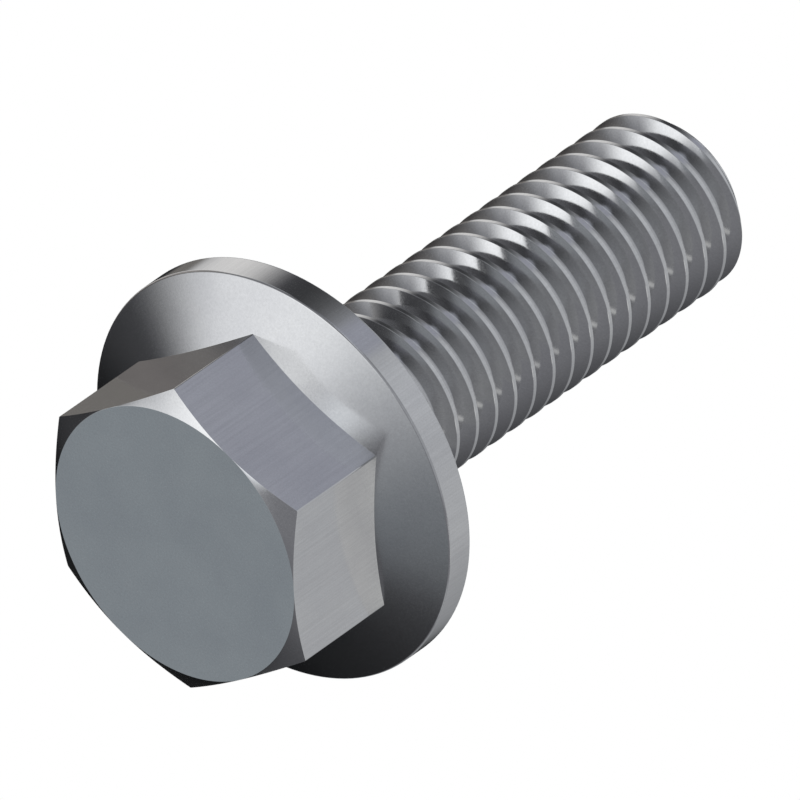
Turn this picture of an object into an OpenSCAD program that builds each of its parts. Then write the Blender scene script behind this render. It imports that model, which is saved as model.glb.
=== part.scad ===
// Hexagon flange bolt, M10 x 1.5 x 30, forged in one piece with a right-hand thread.
// The bolt stands on its head: the head's end face lies on z = 0, the axis is +Z and the tip is up.
// The origin is the centre of the head's end face.

/* [Head] */
// Width of the hexagon across its flats
across_flats = 15; // [13:0.5:17]
// Height of the head, from its end face to the flange's bearing face
head_h = 9.2; // [8:0.1:11]
// Slope of the cone that cuts the hexagon's corners, from the end face
corner_slope = 27; // [15:1:35]

/* [Flange] */
// Diameter of the flange
flange_d = 22.3; // [20:0.1:24]
// Thickness of the flange at its rim
rim_h = 1.6; // [1:0.1:2.2]
// Slope of the flange's upper side, from the rim up to the hexagon
flange_slope = 20; // [12:1:26]
// Radius of the rounding on both edges of the rim
rim_round = 0.14; // [0.05:0.01:0.4]

/* [Shank] */
// Length of the shank, from the bearing face to the tip
shank_l = 30; // [20:1:40]
// Radius of the fillet between the shank and the bearing face
fillet_r = 0.5; // [0.3:0.1:0.8]
// Length of the plain neck, from the bearing face to where the thread rises
neck_l = 2.2; // [1.2:0.1:4]
// Slope of the cone at the tip, from the axis
end_slope = 45; // [30:1:55]
// Diameter of the flat face at the tip
tip_d = 8.1; // [7:0.1:8.6]

/* [Thread] */
// Outside diameter over the thread's crests
thread_d = 9.89; // [9:0.01:11]
// Distance from one crest to the next, along the axis
pitch = 1.5; // [1.25:0.25:1.75]
// Angle between the two flanks of a groove
flank_angle = 60; // [55:1:60]
// Width of the flat on top of a ridge
crest_w = 0.235; // [0.15:0.005:0.3]
// Width of the flat at the bottom of the groove
root_w = 0.33; // [0.15:0.01:0.36]
// Slope of the cone on which the thread rises from the neck, from the axis
runout_slope = 20; // [15:1:45]
// Turn of the thread's start about the axis, from a corner of the hexagon
thread_turn = 187; // [0:1:360]

/* [Hidden] */

steel = [0.60, 0.62, 0.64];
round_fn = 120;
rounding_steps = 5;

// Hexagon and flange
hex_corner_r = across_flats / 2 / cos(30);
flange_r = flange_d / 2;
rim_top_z = head_h - rim_h;
cone_apex_z = rim_top_z - flange_r * tan(flange_slope);

// Thread section: a trapezium, wider outwards, that is swept along the helix
half_flank = flank_angle / 2;
thread_r = thread_d / 2;
groove_w = pitch - crest_w;
groove_depth = (groove_w - root_w) / 2 / tan(half_flank);
root_r = thread_r - groove_depth;
// The neck keeps the diameter of the bar that the thread is rolled from,
// which is where ridge and groove are equally wide
neck_r = thread_r - (pitch / 2 - crest_w) / 2 / tan(half_flank);

// Places along the axis
tip_z = head_h + shank_l;
thread_start_z = head_h + neck_l;
runout_l = (thread_r - neck_r) * tan(90 - runout_slope);
tip_cone_l = (thread_r - tip_d / 2) * tan(90 - end_slope);

// The groove's cutting body stands proud of the crests by less than the width of a crest allows
proud = crest_w / 4 / tan(half_flank);
cut_top_w = groove_w + 2 * proud * tan(half_flank);
turn_steps = 48;
runout_steps = turn_steps;
first_groove_z = thread_start_z + pitch / 8;
groove_steps = ceil((tip_z + pitch - first_groove_z) / pitch * turn_steps);

// Points of an arc in the profile's plane, from one angle to another
function arc(centre, r, from, to) = [
    for (i = [0 : rounding_steps])
        let (a = from + (to - from) * i / rounding_steps)
        centre + r * [cos(a), sin(a)]
];

// Half of the turned outline, with the radius first and the height second
function turned_outline() = concat(
    [[0, cone_apex_z]],
    rim_upper_edge(),
    arc([flange_r - rim_round, head_h - rim_round], rim_round, 0, 90),
    arc([neck_r + fillet_r, head_h + fillet_r], fillet_r, 270, 180),
    [
        [neck_r, thread_start_z],
        [thread_r, thread_start_z + runout_l],
        [thread_r, tip_z - tip_cone_l],
        [tip_d / 2, tip_z],
        [0, tip_z]
    ]
);

// Rounding between the sloping upper side and the rim, tangent to both
function rim_upper_edge() =
    let (c = [flange_r - rim_round, rim_top_z + rim_round * tan(45 - flange_slope / 2)])
    arc(c, rim_round, flange_slope - 90, 0);

// One section of the groove's cutting body: outer edge, root, root, outer edge.
// Over the first turn it comes in from outside the crests, so the groove runs out gradually.
function groove_section(i) =
    let (
        a = thread_turn + 360 * i / turn_steps,
        z = first_groove_z + pitch * i / turn_steps,
        lift = max(0, 1 - i / runout_steps) * (groove_depth + proud)
    )
    [
        for (p = [
            [thread_r + proud, -cut_top_w / 2], [root_r, -root_w / 2],
            [root_r, root_w / 2], [thread_r + proud, cut_top_w / 2]
        ])
            [(p[0] + lift) * cos(a), (p[0] + lift) * sin(a), z + p[1]]
    ];

// Cutting body of the thread's groove: the section swept along a right-hand helix
module thread_groove() {
    last = 4 * groove_steps;
    points = [for (i = [0 : groove_steps]) each groove_section(i)];
    sides = [
        for (i = [0 : groove_steps - 1], j = [0 : 3])
            let (p = 4 * i + j, q = 4 * i + (j + 1) % 4)
            each [[p, p + 4, q + 4], [p, q + 4, q]]
    ];
    ends = [[0, 1, 2, 3], [last + 3, last + 2, last + 1, last]];
    polyhedron(points = points, faces = concat(sides, ends), convexity = 10);
}

// Hexagon with its corners cut by a cone that touches the flats at the end face
module hexagon() {
    flat_r = across_flats / 2;
    intersection() {
        cylinder(h = rim_top_z, r = hex_corner_r, $fn = 6);
        rotate_extrude($fn = round_fn)
            polygon([
                [0, 0], [flat_r, 0], [flange_r, (flange_r - flat_r) * tan(corner_slope)],
                [flange_r, rim_top_z], [0, rim_top_z]
            ]);
    }
}

// Flange and unthreaded shank, turned in one outline
module flange_and_shank() {
    rotate_extrude($fn = round_fn) polygon(turned_outline());
}

module flange_bolt() {
    color(steel) {
        hexagon();
        difference() {
            flange_and_shank();
            thread_groove();
        }
    }
}

flange_bolt();
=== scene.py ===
# Hexagon flange bolt, M10 x 1.5 x 30, cold forged in plain steel with a rolled right-hand thread
import math

import bmesh
import bpy
from mathutils import Matrix, Vector


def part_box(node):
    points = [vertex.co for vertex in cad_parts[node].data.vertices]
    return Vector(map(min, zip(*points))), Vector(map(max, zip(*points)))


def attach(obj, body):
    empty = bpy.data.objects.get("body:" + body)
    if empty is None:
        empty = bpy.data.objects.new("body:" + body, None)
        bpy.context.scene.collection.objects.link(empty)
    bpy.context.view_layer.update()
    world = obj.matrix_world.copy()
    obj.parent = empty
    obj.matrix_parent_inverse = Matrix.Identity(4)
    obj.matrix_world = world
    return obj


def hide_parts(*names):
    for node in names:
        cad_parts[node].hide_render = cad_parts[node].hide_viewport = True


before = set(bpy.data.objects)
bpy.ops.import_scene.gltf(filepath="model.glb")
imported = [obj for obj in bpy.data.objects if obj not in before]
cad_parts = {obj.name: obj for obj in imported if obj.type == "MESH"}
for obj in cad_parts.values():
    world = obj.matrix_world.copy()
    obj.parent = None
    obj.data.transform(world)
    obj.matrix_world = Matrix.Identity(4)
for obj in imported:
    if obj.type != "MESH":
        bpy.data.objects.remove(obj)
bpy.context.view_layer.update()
mm = 0.001
weld = 1e-7  # points nearer than this, in metres, become one
upAxis = Vector((0, 0, 1))
scene = bpy.context.scene
# sockets of a Mix node, which go by number: two colours in and one out, and two values in
colourA, colourB, mixedColour = 6, 7, 2
valueA, valueB = 2, 3


def linear(hexColour):
    # sRGB hex to linear RGBA
    parts = [int(hexColour[i:i + 2], 16) / 255 for i in (1, 3, 5)]
    return [c / 12.92 if c <= 0.04045 else ((c + 0.055) / 1.055) ** 2.4 for c in parts] + [1]


def addNode(tree, kind, inputs=None, **settings):
    # a node with its settings, and with its inputs set or linked
    made = tree.nodes.new(kind)
    for name, value in settings.items():
        setattr(made, name, value)
    for name, value in (inputs or {}).items():
        if isinstance(value, bpy.types.NodeSocket):
            tree.links.new(value, made.inputs[name])
        else:
            made.inputs[name].default_value = value
    return made


def emptyTree(owner):
    # the node tree of a material or of the world, with nothing in it
    owner.use_nodes = True
    owner.node_tree.nodes.clear()
    return owner.node_tree


# Sizes in mm and degrees. The head stands on z = 0 and the tip is up, as in the frame.
bolt = {
    "acrossFlats": 15, "headHeight": 9.2, "cornerSlope": 27,  # hexagon, corners turned off by a cone
    "faceRound": 0.05, "cornerRound": 0.05,  # rounding round the end face and along the upright edges
    "rimHeight": 1.6, "flangeSlope": 20, "rimRound": 0.14,
    "filletRadius": 0.5, "neckLength": 2.2,
    "endSlope": 45, "tipDiameter": 8.1, "tipRound": 0.05,
    "threadDiameter": 9.89, "pitch": 1.5, "halfFlank": 30,
    "crestWidth": 0.235, "crestBreak": 0.012, "rootWidth": 0.33, "rootRound": 0.08,
    "runoutSlope": 20, "threadTurn": 187,  # cone that the thread rises on, and where it starts
    "stepsPerTurn": 144, "edgeSteps": 3, "cornerSteps": 4, "rimSteps": 6, "filletSteps": 8,
    "sharpFrom": 24,  # an edge between two faces stays sharp from this angle on
    "mergeWithin": 0.002, "shortestEdge": 0.001,  # cleaning where the solids were joined
}


def arc(centre, radius, start, end, steps):
    # points of a rounding in the plane of an outline, from one angle to another
    turns = [math.radians(start + (end - start) * i / steps) for i in range(steps + 1)]
    return [(centre[0] + radius * math.cos(a), centre[1] + radius * math.sin(a)) for a in turns]


def spun(profile, steps, turn):
    # solid of revolution from a profile that starts and ends on the axis
    bm = bmesh.new()
    verts = [bm.verts.new((r * mm, 0, z * mm)) for r, z in profile]
    edges = [bm.edges.new(pair) for pair in zip(verts, verts[1:])]
    start = Matrix.Rotation(math.radians(turn), 3, "Z")
    bmesh.ops.rotate(bm, verts=verts, cent=(0, 0, 0), matrix=start)
    bmesh.ops.spin(bm, geom=verts + edges, cent=(0, 0, 0), axis=upAxis, angle=2 * math.pi,
                   steps=steps, use_merge=True)
    bmesh.ops.remove_doubles(bm, verts=bm.verts, dist=weld)
    bmesh.ops.recalc_face_normals(bm, faces=bm.faces)
    return bm


def asObject(bm, name):
    mesh = bpy.data.meshes.new(name)
    bm.to_mesh(mesh)
    bm.free()
    made = bpy.data.objects.new(name, mesh)
    scene.collection.objects.link(made)
    return made


def combine(target, tool, operation):
    # one exact Boolean, applied at once
    step = target.modifiers.new("combine", "BOOLEAN")
    step.object = tool
    step.operation = operation
    step.solver = "EXACT"
    view = bpy.context.evaluated_depsgraph_get()
    mesh = bpy.data.meshes.new_from_object(target.evaluated_get(view))
    target.modifiers.remove(step)
    target.data = mesh
    bpy.data.objects.remove(tool)


def hexagonHead(b, flangeRadius, rimTop):
    # hexagon with softened upright edges, its corners turned off by a cone at the end face
    cornerRadius = b["acrossFlats"] / 2 / math.cos(math.radians(30))
    bm = bmesh.new()
    bmesh.ops.create_cone(bm, cap_ends=True, segments=6, radius1=cornerRadius * mm,
                          radius2=cornerRadius * mm, depth=rimTop * mm)
    bmesh.ops.translate(bm, verts=bm.verts, vec=upAxis * rimTop * mm / 2)
    bmesh.ops.rotate(bm, verts=bm.verts, cent=(0, 0, 0), matrix=Matrix.Rotation(math.pi / 2, 3, "Z"))
    upright = [e for e in bm.edges if abs(e.verts[0].co.z - e.verts[1].co.z) > mm]
    bmesh.ops.bevel(bm, geom=upright, offset=b["cornerRound"] * mm, offset_type="OFFSET",
                    segments=b["cornerSteps"], profile=0.5, affect="EDGES", material=-1)
    head = asObject(bm, "head")
    slope = math.radians(b["cornerSlope"])
    flat = b["acrossFlats"] / 2
    edge = b["faceRound"]
    rise = (flangeRadius - flat) * math.tan(slope)
    coneTop = rimTop + 1  # clear of the hexagon's own top
    profile = [(0, 0)]
    profile += arc((flat - edge * math.tan(slope / 2), edge), edge, 270, 270 + b["cornerSlope"],
                   b["edgeSteps"])
    profile += [(flangeRadius, rise), (flangeRadius, coneTop), (0, coneTop)]
    combine(head, asObject(spun(profile, b["stepsPerTurn"], 0), "cornerCone"), "INTERSECT")
    return head


def turnedBlank(b, flangeRadius, rimTop, length):
    # flange, fillet, neck and thread cylinder in one outline; the neck keeps the rolled bar's diameter
    slope = math.radians(b["flangeSlope"])
    rim = b["rimRound"]
    fillet = b["filletRadius"]
    threadR = b["threadDiameter"] / 2
    tipR = b["tipDiameter"] / 2
    neckR = threadR - (b["pitch"] / 2 - b["crestWidth"]) / 2 / math.tan(math.radians(b["halfFlank"]))
    threadZ = b["headHeight"] + b["neckLength"]
    tipRun = 1 / math.tan(math.radians(b["endSlope"]))
    neckRun = 1 / math.tan(math.radians(b["runoutSlope"]))
    profile = [(0, rimTop - flangeRadius * math.tan(slope))]
    profile += arc((flangeRadius - rim, rimTop + rim * math.tan(math.pi / 4 - slope / 2)), rim,
                   b["flangeSlope"] - 90, 0, b["rimSteps"])
    profile += arc((flangeRadius - rim, b["headHeight"] - rim), rim, 0, 90, b["rimSteps"])
    profile += arc((neckR + fillet, b["headHeight"] + fillet), fillet, 270, 180, b["filletSteps"])
    profile += [(neckR, threadZ), (threadR, threadZ + (threadR - neckR) * neckRun),
                (threadR, length - (threadR - tipR) * tipRun)]
    tip = b["tipRound"]
    centre = (tipR - tip * math.tan(math.radians(45 - b["endSlope"] / 2)), length - tip)
    profile += arc(centre, tip, 90 - b["endSlope"], 90, b["edgeSteps"])
    profile += [(0, length)]
    return asObject(spun(profile, b["stepsPerTurn"], b["threadTurn"]), "blank")


def grooveCutter(b, length):
    # the groove's section carried round a right-hand helix: it sinks to its full depth over the
    # first turn, and stands proud of the crests by less than their width allows
    threadR = b["threadDiameter"] / 2
    steps = b["stepsPerTurn"]
    tanFlank = math.tan(math.radians(b["halfFlank"]))
    grooveWidth = b["pitch"] - b["crestWidth"]
    depth = (grooveWidth - b["rootWidth"]) / 2 / tanFlank
    proud = b["crestWidth"] / 4 / tanFlank
    # one side of the section from the root out, as distance from the groove's middle and radius
    flankTurn = 90 - b["halfFlank"]
    r = b["rootRound"]
    flatEnd = b["rootWidth"] / 2 - r * math.tan(math.radians(flankTurn / 2))
    side = arc((flatEnd, threadR - depth + r), r, 270, 270 + flankTurn, b["edgeSteps"])
    crestBreak = b["crestBreak"]
    side += [(grooveWidth / 2 - crestBreak * tanFlank, threadR - crestBreak),
             (grooveWidth / 2 + crestBreak, threadR), (grooveWidth / 2 + crestBreak, threadR + proud)]
    section = side + [(-x, y) for x, y in reversed(side)]
    firstZ = b["headHeight"] + b["neckLength"] + b["pitch"] / 8
    start = math.radians(b["threadTurn"])
    bm = bmesh.new()
    verts = [bm.verts.new((y * mm, 0, (firstZ + x) * mm)) for x, y in section]
    edges = [bm.edges.new(pair) for pair in zip(verts, verts[1:] + verts[:1])]
    bmesh.ops.rotate(bm, verts=verts, cent=(0, 0, 0), matrix=Matrix.Rotation(start, 3, "Z"))
    bmesh.ops.spin(bm, geom=verts + edges, cent=(0, 0, 0), axis=upAxis,
                   dvec=upAxis * b["pitch"] / steps * mm, angle=2 * math.pi, steps=steps)
    oneTurn = bm.verts[:] + bm.edges[:] + bm.faces[:]
    for turn in range(1, math.ceil((length - firstZ) / b["pitch"]) + 1):
        copied = bmesh.ops.duplicate(bm, geom=oneTurn)["geom"]
        moved = [part for part in copied if isinstance(part, bmesh.types.BMVert)]
        bmesh.ops.translate(bm, verts=moved, vec=upAxis * turn * b["pitch"] * mm)
    bmesh.ops.remove_doubles(bm, verts=bm.verts, dist=weld)
    bmesh.ops.holes_fill(bm, edges=[e for e in bm.edges if e.is_boundary], sides=0)
    # how many turns in from its start each point lies, which says how far it still stands out
    for v in bm.verts:
        turnsIn = (math.atan2(v.co.y, v.co.x) - start) / 2 / math.pi % 1
        turnsIn += round((v.co.z / mm - firstZ) / b["pitch"] - turnsIn)
        if turnsIn < 1:
            outward = Vector((v.co.x, v.co.y, 0)).normalized()
            v.co += outward * (1 - turnsIn) * (depth + proud) * mm
    bmesh.ops.recalc_face_normals(bm, faces=bm.faces)
    return asObject(bm, "groove")


def makeBolt(b):
    low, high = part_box("flange_bolt")
    flangeRadius = min(high.x, high.y, -low.x, -low.y) / mm
    length = high.z / mm
    rimTop = b["headHeight"] - b["rimHeight"]
    made = turnedBlank(b, flangeRadius, rimTop, length)
    print("blank turned")
    combine(made, grooveCutter(b, length), "DIFFERENCE")
    print("thread cut")
    combine(made, hexagonHead(b, flangeRadius, rimTop), "UNION")
    print("hexagon joined")
    bm = bmesh.new()
    bm.from_mesh(made.data)
    bmesh.ops.remove_doubles(bm, verts=bm.verts, dist=b["mergeWithin"] * mm)
    bmesh.ops.dissolve_degenerate(bm, edges=bm.edges, dist=b["shortestEdge"] * mm)
    for face in bm.faces:
        face.smooth = True
    for edge in bm.edges:
        edge.smooth = edge.calc_face_angle(0) < math.radians(b["sharpFrom"])
    print("open edges", sum(not e.is_manifold for e in bm.edges), "triangles",
          sum(len(f.verts) - 2 for f in bm.faces))
    bm.to_mesh(made.data)
    bm.free()
    normals = made.modifiers.new("normals", "WEIGHTED_NORMAL")
    normals.keep_sharp = True
    made.name = "hexFlangeBolt"
    return made


# Cold-forged steel, tumbled bright and lightly oiled: even grey metal with a tight, slightly
# satin reflection, faint draw lines along the axis and edges rubbed a little brighter. Sizes are
# in mm. The real grain and lines are a few hundredths wide: they are drawn coarser so that they show.
steel = {
    "colour": "#CBCBCB", "cloudColour": "#C4C4C5", "edgeColour": "#D3D3D2",
    "roughness": 0.1, "roughnessSpread": 0.03, "edgeRoughness": 0.1,
    "cloudSize": 4.0, "cloudBand": (0.35, 0.65),  # the noise's values that give either tone in full
    "grainSize": 0.08, "grainHeight": 0.0001, "grainShade": 0.04,
    "drawLineWidth": 0.12, "drawLineLength": 5.0, "drawLineHeight": 0.00015, "drawLineShade": 0.04,
    "fineBand": (0.3, 0.7),  # the same for the grain and the lines
    "edgeWidth": 0.1, "edgeSamples": 6,
    "edgeBand": (0.995, 0.8),  # agreement of true and bevelled normal at plain and at rubbed metal
}


def forgedSteel(s):
    material = bpy.data.materials.new("forged steel")
    tree = emptyTree(material)
    fine = {"From Min": s["fineBand"][0], "From Max": s["fineBand"][1]}
    place = addNode(tree, "ShaderNodeTexCoord").outputs["Object"]
    inMm = addNode(tree, "ShaderNodeMapping", {"Vector": place, "Scale": (1 / mm, 1 / mm, 1 / mm)})
    inMm = inMm.outputs["Vector"]
    drawn = addNode(tree, "ShaderNodeMapping", {
        "Vector": inMm, "Scale": (1, 1, s["drawLineWidth"] / s["drawLineLength"])}).outputs["Vector"]
    clouds = addNode(tree, "ShaderNodeTexNoise", {
        "Vector": inMm, "Scale": 1 / s["cloudSize"], "Detail": 4, "Roughness": 0.6}).outputs["Fac"]
    grain = addNode(tree, "ShaderNodeTexNoise", {
        "Vector": inMm, "Scale": 1 / s["grainSize"], "Detail": 2, "Roughness": 0.5}).outputs["Fac"]
    lines = addNode(tree, "ShaderNodeTexNoise", {
        "Vector": drawn, "Scale": 1 / s["drawLineWidth"], "Detail": 2, "Roughness": 0.5}).outputs["Fac"]
    # the bevelled normal leaves the true one only near an edge
    rounded = addNode(tree, "ShaderNodeBevel", {"Radius": s["edgeWidth"] * mm},
                      samples=s["edgeSamples"]).outputs["Normal"]
    trueNormal = addNode(tree, "ShaderNodeNewGeometry").outputs["Normal"]
    facing = addNode(tree, "ShaderNodeVectorMath", {0: rounded, 1: trueNormal}, operation="DOT_PRODUCT")
    edge = addNode(tree, "ShaderNodeMapRange", {
        "Value": facing.outputs["Value"], "From Min": s["edgeBand"][0],
        "From Max": s["edgeBand"][1]}).outputs["Result"]
    patches = addNode(tree, "ShaderNodeMapRange", {
        "Value": clouds, "From Min": s["cloudBand"][0],
        "From Max": s["cloudBand"][1]}).outputs["Result"]
    tone = addNode(tree, "ShaderNodeMix", {
        "Factor": patches, colourA: linear(s["colour"]), colourB: linear(s["cloudColour"])},
        data_type="RGBA")
    grained = addNode(tree, "ShaderNodeMapRange", {
        "Value": grain, **fine,
        "To Min": 1 - s["grainShade"], "To Max": 1 + s["grainShade"]}).outputs["Result"]
    lined = addNode(tree, "ShaderNodeMapRange", {
        "Value": lines, **fine,
        "To Min": 1 - s["drawLineShade"], "To Max": 1 + s["drawLineShade"]}).outputs["Result"]
    shade = addNode(tree, "ShaderNodeMath", {0: grained, 1: lined}, operation="MULTIPLY")
    shaded = addNode(tree, "ShaderNodeMix", {
        "Factor": 1, colourA: tone.outputs[mixedColour], colourB: shade.outputs["Value"]},
        data_type="RGBA", blend_type="MULTIPLY")
    worn = addNode(tree, "ShaderNodeMix", {
        "Factor": edge, colourA: shaded.outputs[mixedColour], colourB: linear(s["edgeColour"])},
        data_type="RGBA")
    polish = addNode(tree, "ShaderNodeMapRange", {
        "Value": grain, **fine,
        "To Min": s["roughness"] - s["roughnessSpread"],
        "To Max": s["roughness"] + s["roughnessSpread"]}).outputs["Result"]
    rubbed = addNode(tree, "ShaderNodeMix", {
        "Factor": edge, valueA: polish, valueB: s["edgeRoughness"]}, data_type="FLOAT")
    grainBump = addNode(tree, "ShaderNodeBump", {
        "Height": grain, "Distance": s["grainHeight"] * mm}).outputs["Normal"]
    lineBump = addNode(tree, "ShaderNodeBump", {
        "Height": lines, "Distance": s["drawLineHeight"] * mm, "Normal": grainBump}).outputs["Normal"]
    surface = addNode(tree, "ShaderNodeBsdfPrincipled", {
        "Base Color": worn.outputs[mixedColour], "Roughness": rubbed.outputs["Result"],
        "Metallic": 1, "Normal": lineBump})
    addNode(tree, "ShaderNodeOutputMaterial", {"Surface": surface.outputs["BSDF"]})
    return material


boltPiece = makeBolt(bolt)
boltPiece.data.materials.clear()
boltPiece.data.materials.append(forgedSteel(steel))
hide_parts("flange_bolt")
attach(boltPiece, "root")
print("bolt finished")

# Pale floor just under the head, in mm. It is clear from below, where the photograph's view comes
# from, and fades into the white backdrop away from the bolt. The soft sun stands high at the front left.
stage = {
    "radius": 160, "segments": 96, "drop": 0.02, "colour": "#F0F1F2", "fadeFrom": 70, "fadeTo": 150,
    "sunStrength": 1.6, "sunAngle": 50, "sunAzimuth": -35, "sunElevation": 60,
}


def makeFloor(s):
    bm = bmesh.new()
    bmesh.ops.create_circle(bm, cap_ends=True, segments=s["segments"], radius=s["radius"] * mm)
    bmesh.ops.translate(bm, verts=bm.verts, vec=-upAxis * s["drop"] * mm)
    made = asObject(bm, "floor")
    material = bpy.data.materials.new("pale floor")
    tree = emptyTree(material)
    place = addNode(tree, "ShaderNodeTexCoord").outputs["Object"]
    out = addNode(tree, "ShaderNodeVectorMath", {0: place}, operation="LENGTH").outputs["Value"]
    fade = addNode(tree, "ShaderNodeMapRange", {
        "Value": out, "From Min": s["fadeFrom"] * mm, "From Max": s["fadeTo"] * mm},
        interpolation_type="SMOOTHSTEP").outputs["Result"]
    below = addNode(tree, "ShaderNodeNewGeometry").outputs["Backfacing"]
    clear = addNode(tree, "ShaderNodeMath", {0: fade, 1: below}, operation="MAXIMUM").outputs["Value"]
    paint = addNode(tree, "ShaderNodeBsdfDiffuse", {"Color": linear(s["colour"])}).outputs["BSDF"]
    seeThrough = addNode(tree, "ShaderNodeBsdfTransparent").outputs["BSDF"]
    mixed = addNode(tree, "ShaderNodeMixShader", {0: clear, 1: paint, 2: seeThrough})
    addNode(tree, "ShaderNodeOutputMaterial", {"Surface": mixed.outputs["Shader"]})
    made.data.materials.append(material)
    # it catches the bolt's shadow, and the bolt neither mirrors it nor is lit or shaded by it
    made.visible_glossy = False
    made.visible_diffuse = False
    made.visible_transmission = False
    made.visible_shadow = False


def makeSun(s):
    light = bpy.data.lights.new("soft sun", "SUN")
    light.energy = s["sunStrength"]
    light.angle = math.radians(s["sunAngle"])
    made = bpy.data.objects.new("soft sun", light)
    scene.collection.objects.link(made)
    azimuth = Matrix.Rotation(math.radians(s["sunAzimuth"]), 4, "Z")
    made.matrix_world = azimuth @ Matrix.Rotation(math.radians(90 - s["sunElevation"]), 4, "X")
    made.visible_glossy = False


makeFloor(stage)
makeSun(stage)

# What the metal mirrors: the room's grey walls, the white backdrop where it shows, cards and a
# softbox, all as soft discs. Each is a name, azimuth and elevation, the half angle where it is full,
# the width of its soft edge, colour and strength. A later one covers an earlier one. From the skylight
# on, all but the card behind the head and the strip light sides that the photograph doesn't show.
stripStep = (-2.6, -2.8)  # in azimuth and elevation, from disc to disc of the slanting strip
studio = {
    "backdrop": "#FFFFFF",
    "walls": "#8C8D92",
    "plainLight": "#C8CACC",
    "cards": [
        ("left black card", -165, 16, 25, 28, "#242526", 1),
        ("rear black card", -171, -33, 9, 49, "#141516", 1),
        ("rear grey wall", 146, 23, 10, 33, "#A6A8AB", 1),
        ("front card", 28, -29, 36, 11, "#B2B5BA", 1),
        ("dark ceiling", -17, 41, 14, 60, "#000000", 1),
        ("pale ceiling", 87, 32, 6, 53, "#CDCFD2", 1),
        ("backdrop on the left", -102, 14, 23, 19, "#FEFDFC", 1),
        ("softbox", -135, -60, 9, 27, "#FAFCFF", 1.24),
        ("softbox middle", -76, -65, 5, 19, "#FBFDFF", 1.53),
        ("below card", -30, -82, 0, 11, "#F7FBFF", 1.67),
        ("middle card", -168, -57, 16, 10, "#9DA5AB", 1),
        ("overhead card", 20, 47, 0, 60, "#DADDE2", 1),
        ("pale card", -14, -8, 8, 4, "#E3E8F5", 1),
        ("left wall", -112, -10, 14, 22, "#000000", 1),
        ("left grey card", -111, 0, 9, 22, "#A8A3A1", 1),
        ("grey card below it", -103, -20, 0, 20, "#BAB7B5", 1),
        ("top card", -56, 82, 10, 6, "#C2C7CD", 1),
        ("front wall card", -21, 24, 0, 23, "#CBCEDA", 1),
        ("blue card", -16, 40, 4, 7, "#B0B3BF", 1),
        ("brown card", -136, 38, 3, 8, "#7B7875", 1),
        ("skylight", 175, 68, 14, 10, "#D8DBDE", 1),
        ("right rear card", 124, -17, 8, 6, "#C0C3C6", 1),
        ("card behind the head", -165, -32, 10, 3, "#9CA4AA", 1),
        ("rear window", 180, 23, 10, 6, "#C0C3C6", 1),
        ("left front card", -62, 21, 8, 6, "#B9BCC0", 1),
        ("low front card", -31, -19, 6, 5, "#A9ACAF", 1),
        ("narrow rear card", -165, -13, 4, 3, "#A6A9AC", 1),
    ] + [
        # a narrow slanting strip of the backdrop, which a flat mirrors by way of the flange
        ("backdrop on the right", 100 + stripStep[0] * i, -1.5 + stripStep[1] * i, 2, 2.5, "#FEFFFF", 1.04)
        for i in range(7)
    ],
}


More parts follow.
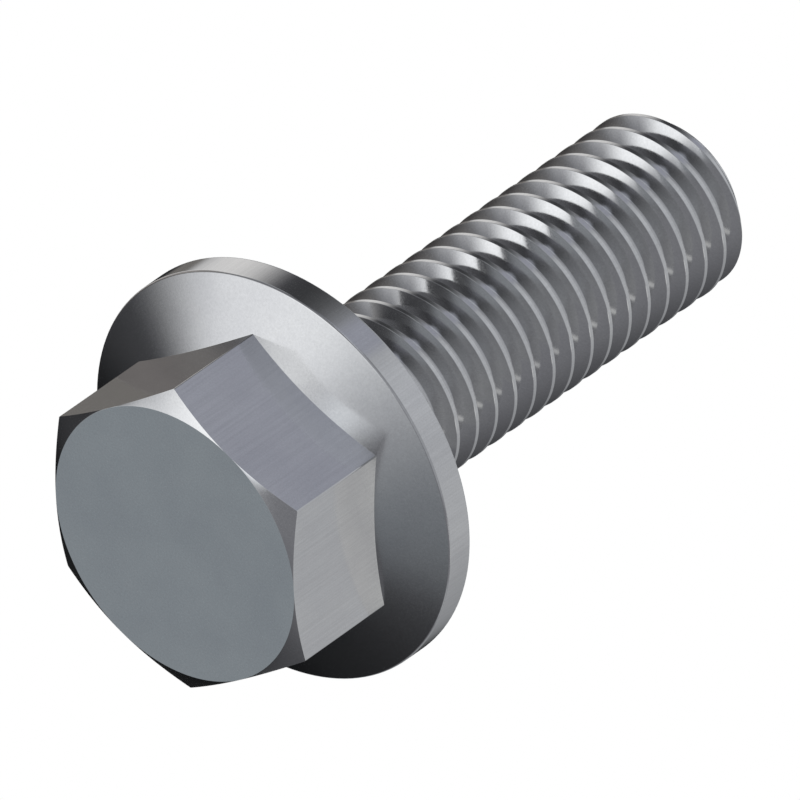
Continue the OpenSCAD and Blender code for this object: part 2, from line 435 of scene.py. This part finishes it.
def makeWorld(s):
    world = bpy.data.worlds.new("studio")
    scene.world = world
    world.cycles.sampling_method = "NONE"  # rays that leave the bolt find the cards by themselves
    tree = emptyTree(world)
    ray = addNode(tree, "ShaderNodeLightPath").outputs
    toward = addNode(tree, "ShaderNodeTexCoord").outputs["Generated"]
    mirrored = addNode(tree, "ShaderNodeRGB").outputs[0]
    mirrored.default_value = linear(s["walls"])
    for name, azimuth, elevation, full, soft, colour, strength in s["cards"]:
        a = math.radians(azimuth)
        e = math.radians(elevation)
        middle = (math.sin(a) * math.cos(e), -math.cos(a) * math.cos(e), math.sin(e))
        closeness = addNode(tree, "ShaderNodeVectorMath", {0: toward, 1: middle}, operation="DOT_PRODUCT")
        angle = addNode(tree, "ShaderNodeMath", {0: closeness.outputs["Value"]}, operation="ARCCOSINE")
        inside = addNode(tree, "ShaderNodeMapRange", {
            "Value": angle.outputs["Value"], "From Min": math.radians(full + soft),
            "From Max": math.radians(full)}, interpolation_type="SMOOTHSTEP", label=name)
        level = [c * strength for c in linear(colour)[:3]] + [1]
        mirrored = addNode(tree, "ShaderNodeMix", {
            "Factor": inside.outputs["Result"], colourA: mirrored, colourB: level},
            data_type="RGBA").outputs[mixedColour]
    # the camera sees the white backdrop, the metal sees the cards, and all else gets plain light
    seen = addNode(tree, "ShaderNodeMix", {
        "Factor": ray["Is Camera Ray"], colourA: mirrored, colourB: linear(s["backdrop"])},
        data_type="RGBA")
    mirror = addNode(tree, "ShaderNodeMath", {
        0: ray["Is Glossy Ray"], 1: ray["Is Transmission Ray"]}, operation="ADD")
    shows = addNode(tree, "ShaderNodeMath", {
        0: ray["Is Camera Ray"], 1: mirror.outputs["Value"]}, operation="ADD", use_clamp=True)
    colour = addNode(tree, "ShaderNodeMix", {
        "Factor": shows.outputs["Value"], colourA: linear(s["plainLight"]),
        colourB: seen.outputs[mixedColour]}, data_type="RGBA")
    light = addNode(tree, "ShaderNodeBackground", {"Color": colour.outputs[mixedColour], "Strength": 1})
    addNode(tree, "ShaderNodeOutputWorld", {"Surface": light.outputs["Background"]})


makeWorld(studio)
scene.view_settings.view_transform = "Standard"
print("floor, light and backdrop placed")

# The photograph looks up at the head's end face and is turned, so that the axis rises to the right.
# The lens is very long, because the photograph shows no perspective. Sizes are in mm.
shot = {
    "azimuth": 15.8, "elevation": -39.97, "roll": 55, "target": (0.8, -0.8, 16.18),
    "frameWidth": 39.23, "lens": 1600, "sensor": 36, "nearest": 100, "farthest": 10000,
}


def makeCamera(s):
    data = bpy.data.cameras.new("camera")
    made = bpy.data.objects.new("camera", data)
    scene.collection.objects.link(made)
    data.lens = s["lens"]
    data.sensor_width = s["sensor"]
    turned = Matrix.Rotation(math.radians(s["azimuth"]), 4, "Z")
    turned = turned @ Matrix.Rotation(math.radians(90 - s["elevation"]), 4, "X")
    turned = turned @ Matrix.Rotation(math.radians(s["roll"]), 4, "Z")
    away = Vector((0, 0, s["frameWidth"] * s["lens"] / s["sensor"]))
    target = Matrix.Translation(Vector(s["target"]) * mm)
    made.matrix_world = target @ turned @ Matrix.Translation(away * mm)
    data.clip_start = s["nearest"] * mm
    data.clip_end = s["farthest"] * mm
    scene.camera = made


makeCamera(shot)
